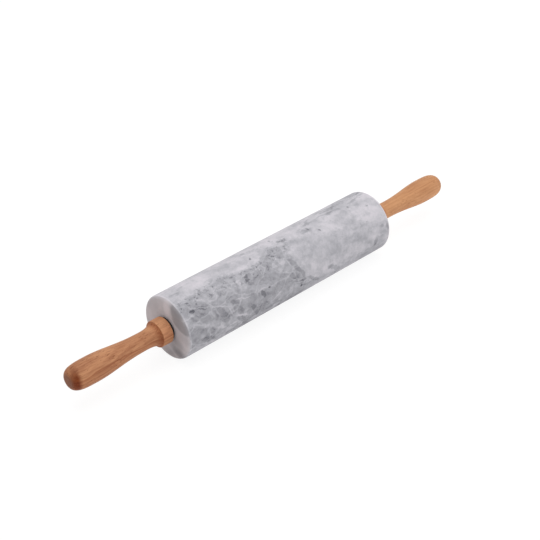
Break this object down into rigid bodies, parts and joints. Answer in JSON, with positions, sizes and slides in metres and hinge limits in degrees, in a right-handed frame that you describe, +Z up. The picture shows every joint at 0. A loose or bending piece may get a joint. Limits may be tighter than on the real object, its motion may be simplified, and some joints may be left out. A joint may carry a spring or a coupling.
{
  "type": "marble rolling pin",
  "caption": "Rolling pin with a polished marble barrel that turns freely on a steel axle between turned wooden handles.",
  "frame": {"origin": "centre of the marble barrel, on its axis", "axes": "+X along the barrel's axis towards the right handle, +Z up"},
  "size_m": [0.4616, 0.06, 0.06],
  "materials": {
    "marble": "polished",
    "beech": "satin varnish",
    "nylon": "moulded",
    "steel": "turned",
    "brass": "turned"
  },
  "bodies": {
    "handle_set": {"axle_rod": "steel", "left_thrust_washer": "steel", "right_thrust_washer": "steel", "left_handle": "beech", "right_handle": "beech", "left_threaded_insert": "brass", "right_threaded_insert": "brass"},
    "barrel": {"marble_barrel": "marble", "left_bearing_bush": "nylon", "right_bearing_bush": "nylon"}
  },
  "joints": [
    {"name": "barrel_spin", "type": "hinge", "parent": "handle_set", "child": "barrel", "pos_m": [0, 0, 0], "axis": [1, 0, 0], "continuous": true}
  ]
}
